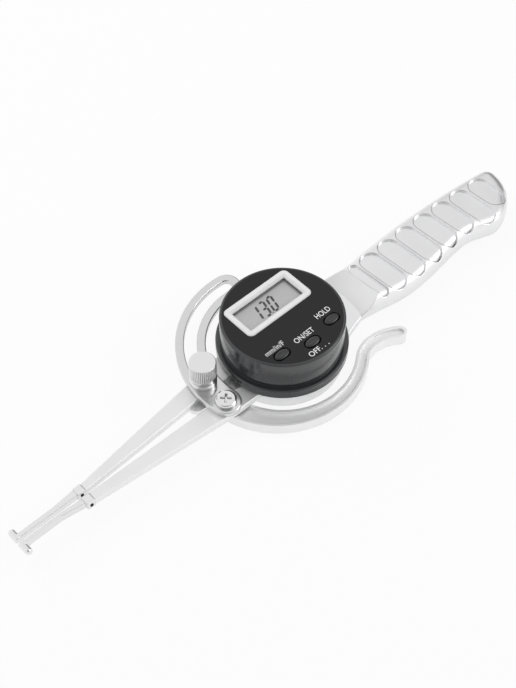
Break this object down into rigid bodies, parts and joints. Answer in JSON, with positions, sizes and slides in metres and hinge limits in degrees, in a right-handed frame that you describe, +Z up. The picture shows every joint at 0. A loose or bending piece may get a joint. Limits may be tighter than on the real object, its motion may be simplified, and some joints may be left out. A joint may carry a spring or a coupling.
{
  "type": "digital inside caliper",
  "caption": "Spring-opened inside caliper with long straight jaws, curved trigger, slotted arc plate with a lock knob, round digital head and a ridged pistol-like grip.",
  "frame": {"origin": "where the pivot axis of the jaws meets the flat surface that the tool lies on", "axes": "+X along the grip, away from the jaw tips; +Y towards the moving jaw and the arc plate; +Z up, along the pivot axis, towards the display"},
  "size_m": [0.2706, 0.0808, 0.0295],
  "materials": {
    "cast_metal": "satin nickel-plated casting",
    "trigger_metal": "satin nickel-plated casting",
    "leg_steel": "fine brushed",
    "polished_steel": "polished",
    "tip_steel": "satin",
    "spring_steel": "oiled",
    "bearing_bronze": "machined",
    "screw_steel": "dark zinc",
    "black_plastic": "semi-gloss",
    "face_film": "matt",
    "frame_plastic": "satin",
    "display_glass": "clear",
    "display_film": "matt grey with dark digits",
    "circuit_board": "solder mask",
    "chip_resin": "matt",
    "contact_metal": "nickel-plated"
  },
  "bodies": {
    "frame": {"handle_casting": "cast_metal", "pivot_pin": "polished_steel", "thrust_washer": "polished_steel", "pivot_clip": "polished_steel", "return_spring": "spring_steel", "fixed_leg": "leg_steel", "fixed_leg_screws": "polished_steel", "fixed_tip_collar": "tip_steel", "fixed_tip": "tip_steel", "fixed_tip_pin": "tip_steel", "quadrant_plate": "polished_steel", "quadrant_screw": "polished_steel", "quadrant_dowel": "polished_steel", "head_base": "black_plastic", "head_screws": "screw_steel", "stator_board": "circuit_board", "stator_screws": "screw_steel", "sensor_chip": "chip_resin", "head_housing": "black_plastic", "face_plate": "face_film", "lcd_bezel": "frame_plastic", "lcd_window": "display_glass", "lcd_panel": "display_film", "zebra_strips": "chip_resin", "main_board": "circuit_board", "board_screws": "screw_steel", "display_chip": "chip_resin", "key_switches": "chip_resin", "battery_holder": "black_plastic", "battery_contacts": "contact_metal"},
    "jaw": {"moving_leg": "leg_steel", "moving_leg_rivets": "polished_steel", "trigger_lever": "trigger_metal", "hub_bush": "bearing_bronze", "rotor_carrier": "black_plastic", "encoder_rotor": "circuit_board", "moving_tip_collar": "tip_steel", "moving_tip": "tip_steel", "moving_tip_pin": "tip_steel", "clamp_stud": "polished_steel"},
    "clamp": {"clamp_washer": "polished_steel"},
    "knob": {"lock_knob": "polished_steel"},
    "units_key": {"button_units": "black_plastic"},
    "power_key": {"button_power": "black_plastic"},
    "hold_key": {"button_hold": "black_plastic"},
    "battery_drawer": {"battery_tray": "black_plastic", "coin_cell": "contact_metal"}
  },
  "joints": [
    {"name": "jaw_swing", "type": "hinge", "parent": "frame", "child": "jaw", "pos_m": [0, 0, 0.0072], "axis": [0, 0, -1], "range_deg": [0, 83.5], "stiffness_Nm_per_rad": 0.057, "springref_deg": 148.97},
    {"name": "clamp_lift", "type": "slide", "parent": "jaw", "child": "clamp", "axis": [0, 0, 1], "range_m": [0, 0.0004]},
    {"name": "lock_knob_turn", "type": "hinge", "parent": "clamp", "child": "knob", "pos_m": [-0.03693, 0.00678, 0.0185], "axis": [0, 0, 1], "range_deg": [0, 180]},
    {"name": "units_key_press", "type": "slide", "parent": "frame", "child": "units_key", "axis": [0, 0, -1], "range_m": [0, 0.00035], "stiffness_N_per_m": 2000, "springref_m": -0.0003},
    {"name": "power_key_press", "type": "slide", "parent": "frame", "child": "power_key", "axis": [0, 0, -1], "range_m": [0, 0.00035], "stiffness_N_per_m": 2000, "springref_m": -0.0003},
    {"name": "hold_key_press", "type": "slide", "parent": "frame", "child": "hold_key", "axis": [0, 0, -1], "range_m": [0, 0.00035], "stiffness_N_per_m": 2000, "springref_m": -0.0003},
    {"name": "battery_drawer_slide", "type": "slide", "parent": "frame", "child": "battery_drawer", "axis": [1, 0, 0], "range_m": [0, 0.023]}
  ],
  "couplings": [
    {"joint": "lock_knob_turn", "follows": "clamp_lift", "rad_per_m": 7850}
  ]
}
